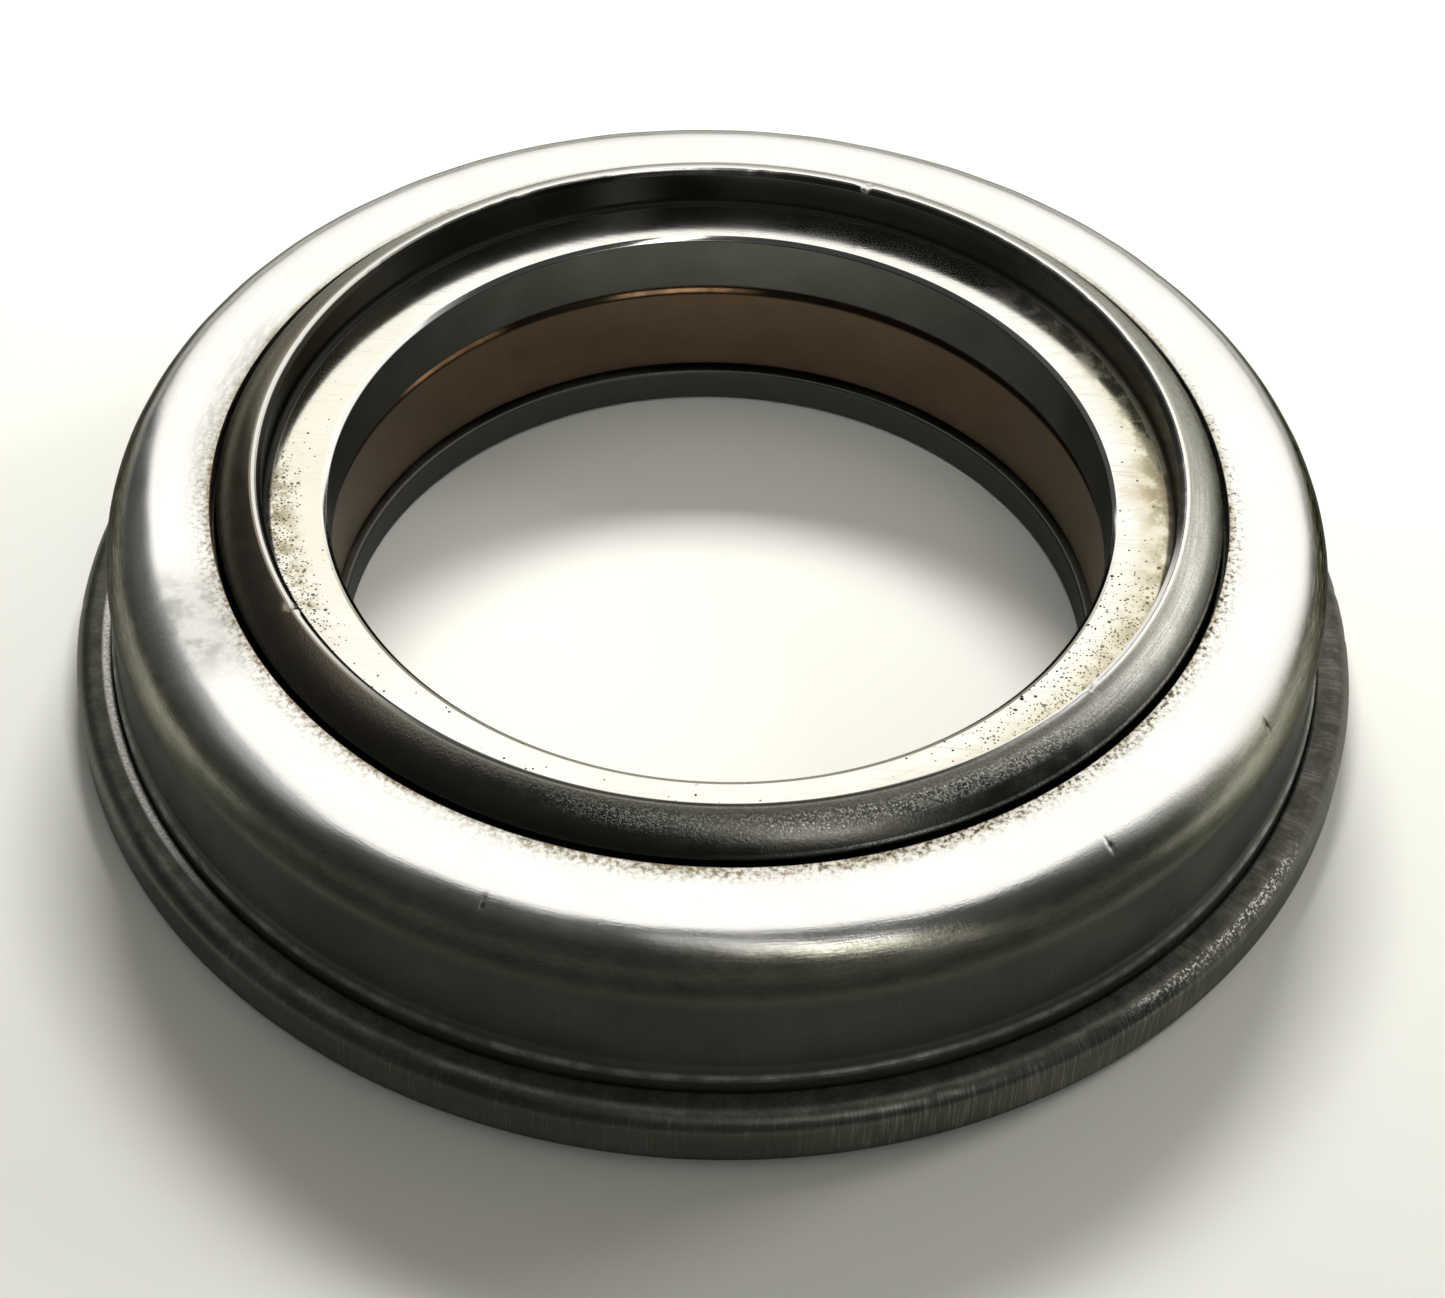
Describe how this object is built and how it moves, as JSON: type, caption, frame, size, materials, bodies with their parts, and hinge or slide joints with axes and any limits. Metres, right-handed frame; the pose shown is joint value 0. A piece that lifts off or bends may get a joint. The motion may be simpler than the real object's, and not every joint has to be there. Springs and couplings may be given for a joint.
{
  "type": "thrust ball bearing",
  "caption": "Flanged thrust ball bearing in a pressed steel shell, with a raised collar on its turning race and a bronze ball cage seen through the bore.",
  "frame": {"origin": "on the shaft axis, in the plane of the back race's back face, which is the middle of the underside", "axes": "+Z along the shaft axis from the back race towards the collar of the turning race; +X and +Y across it, with the first ball on +X"},
  "size_m": [0.108, 0.108, 0.0222],
  "materials": {
    "race_steel": "turned and ground steel, oil-stained, satin",
    "shell_steel": "pressed steel, polished flat face, stained at the edges",
    "bronze": "oil-soaked bronze, dark brown",
    "ball_steel": "polished steel"
  },
  "bodies": {
    "housing": {"back_race": "race_steel", "shell": "shell_steel"},
    "front_race": {"front_race": "race_steel"},
    "ball_cage": {"ball_cage": "bronze"},
    "ball_01": {"ball_01": "ball_steel"},
    "ball_02": {"ball_02": "ball_steel"},
    "ball_03": {"ball_03": "ball_steel"},
    "ball_04": {"ball_04": "ball_steel"},
    "ball_05": {"ball_05": "ball_steel"},
    "ball_06": {"ball_06": "ball_steel"},
    "ball_07": {"ball_07": "ball_steel"},
    "ball_08": {"ball_08": "ball_steel"},
    "ball_09": {"ball_09": "ball_steel"},
    "ball_10": {"ball_10": "ball_steel"},
    "ball_11": {"ball_11": "ball_steel"},
    "ball_12": {"ball_12": "ball_steel"},
    "ball_13": {"ball_13": "ball_steel"},
    "ball_14": {"ball_14": "ball_steel"},
    "ball_15": {"ball_15": "ball_steel"},
    "ball_16": {"ball_16": "ball_steel"},
    "ball_17": {"ball_17": "ball_steel"},
    "ball_18": {"ball_18": "ball_steel"}
  },
  "joints": [
    {"name": "front_race_spin", "type": "hinge", "parent": "housing", "child": "front_race", "pos_m": [0, 0, 0.01295], "axis": [0, 0, 1], "continuous": true},
    {"name": "cage_orbit", "type": "hinge", "parent": "housing", "child": "ball_cage", "pos_m": [0, 0, 0.008], "axis": [0, 0, 1], "continuous": true},
    {"name": "ball_01_roll", "type": "hinge", "parent": "ball_cage", "child": "ball_01", "pos_m": [0.04021, 0, 0.00808], "axis": [1, 0, 0], "continuous": true},
    {"name": "ball_02_roll", "type": "hinge", "parent": "ball_cage", "child": "ball_02", "pos_m": [0.03778, 0.01375, 0.00808], "axis": [0.9397, 0.342, 0], "continuous": true},
    {"name": "ball_03_roll", "type": "hinge", "parent": "ball_cage", "child": "ball_03", "pos_m": [0.0308, 0.02584, 0.00808], "axis": [0.766, 0.6428, 0], "continuous": true},
    {"name": "ball_04_roll", "type": "hinge", "parent": "ball_cage", "child": "ball_04", "pos_m": [0.0201, 0.03482, 0.00808], "axis": [0.5, 0.866, 0], "continuous": true},
    {"name": "ball_05_roll", "type": "hinge", "parent": "ball_cage", "child": "ball_05", "pos_m": [0.00698, 0.0396, 0.00808], "axis": [0.1736, 0.9848, 0], "continuous": true},
    {"name": "ball_06_roll", "type": "hinge", "parent": "ball_cage", "child": "ball_06", "pos_m": [-0.00698, 0.0396, 0.00808], "axis": [-0.1736, 0.9848, 0], "continuous": true},
    {"name": "ball_07_roll", "type": "hinge", "parent": "ball_cage", "child": "ball_07", "pos_m": [-0.0201, 0.03482, 0.00808], "axis": [-0.5, 0.866, 0], "continuous": true},
    {"name": "ball_08_roll", "type": "hinge", "parent": "ball_cage", "child": "ball_08", "pos_m": [-0.0308, 0.02584, 0.00808], "axis": [-0.766, 0.6428, 0], "continuous": true},
    {"name": "ball_09_roll", "type": "hinge", "parent": "ball_cage", "child": "ball_09", "pos_m": [-0.03778, 0.01375, 0.00808], "axis": [-0.9397, 0.342, 0], "continuous": true},
    {"name": "ball_10_roll", "type": "hinge", "parent": "ball_cage", "child": "ball_10", "pos_m": [-0.04021, 0, 0.00808], "axis": [-1, 0, 0], "continuous": true},
    {"name": "ball_11_roll", "type": "hinge", "parent": "ball_cage", "child": "ball_11", "pos_m": [-0.03778, -0.01375, 0.00808], "axis": [-0.9397, -0.342, 0], "continuous": true},
    {"name": "ball_12_roll", "type": "hinge", "parent": "ball_cage", "child": "ball_12", "pos_m": [-0.0308, -0.02584, 0.00808], "axis": [-0.766, -0.6428, 0], "continuous": true},
    {"name": "ball_13_roll", "type": "hinge", "parent": "ball_cage", "child": "ball_13", "pos_m": [-0.0201, -0.03482, 0.00808], "axis": [-0.5, -0.866, 0], "continuous": true},
    {"name": "ball_14_roll", "type": "hinge", "parent": "ball_cage", "child": "ball_14", "pos_m": [-0.00698, -0.0396, 0.00808], "axis": [-0.1736, -0.9848, 0], "continuous": true},
    {"name": "ball_15_roll", "type": "hinge", "parent": "ball_cage", "child": "ball_15", "pos_m": [0.00698, -0.0396, 0.00808], "axis": [0.1736, -0.9848, 0], "continuous": true},
    {"name": "ball_16_roll", "type": "hinge", "parent": "ball_cage", "child": "ball_16", "pos_m": [0.0201, -0.03482, 0.00808], "axis": [0.5, -0.866, 0], "continuous": true},
    {"name": "ball_17_roll", "type": "hinge", "parent": "ball_cage", "child": "ball_17", "pos_m": [0.0308, -0.02584, 0.00808], "axis": [0.766, -0.6428, 0], "continuous": true},
    {"name": "ball_18_roll", "type": "hinge", "parent": "ball_cage", "child": "ball_18", "pos_m": [0.03778, -0.01375, 0.00808], "axis": [0.9397, -0.342, 0], "continuous": true}
  ],
  "couplings": [
    {"joint": "cage_orbit", "follows": "front_race_spin", "ratio": 0.5},
    {"joint": "ball_01_roll", "follows": "front_race_spin", "ratio": -3.6181},
    {"joint": "ball_02_roll", "follows": "front_race_spin", "ratio": -3.6181},
    {"joint": "ball_03_roll", "follows": "front_race_spin", "ratio": -3.6181},
    {"joint": "ball_04_roll", "follows": "front_race_spin", "ratio": -3.6181},
    {"joint": "ball_05_roll", "follows": "front_race_spin", "ratio": -3.6181},
    {"joint": "ball_06_roll", "follows": "front_race_spin", "ratio": -3.6181},
    {"joint": "ball_07_roll", "follows": "front_race_spin", "ratio": -3.6181},
    {"joint": "ball_08_roll", "follows": "front_race_spin", "ratio": -3.6181},
    {"joint": "ball_09_roll", "follows": "front_race_spin", "ratio": -3.6181},
    {"joint": "ball_10_roll", "follows": "front_race_spin", "ratio": -3.6181},
    {"joint": "ball_11_roll", "follows": "front_race_spin", "ratio": -3.6181},
    {"joint": "ball_12_roll", "follows": "front_race_spin", "ratio": -3.6181},
    {"joint": "ball_13_roll", "follows": "front_race_spin", "ratio": -3.6181},
    {"joint": "ball_14_roll", "follows": "front_race_spin", "ratio": -3.6181},
    {"joint": "ball_15_roll", "follows": "front_race_spin", "ratio": -3.6181},
    {"joint": "ball_16_roll", "follows": "front_race_spin", "ratio": -3.6181},
    {"joint": "ball_17_roll", "follows": "front_race_spin", "ratio": -3.6181},
    {"joint": "ball_18_roll", "follows": "front_race_spin", "ratio": -3.6181}
  ]
}
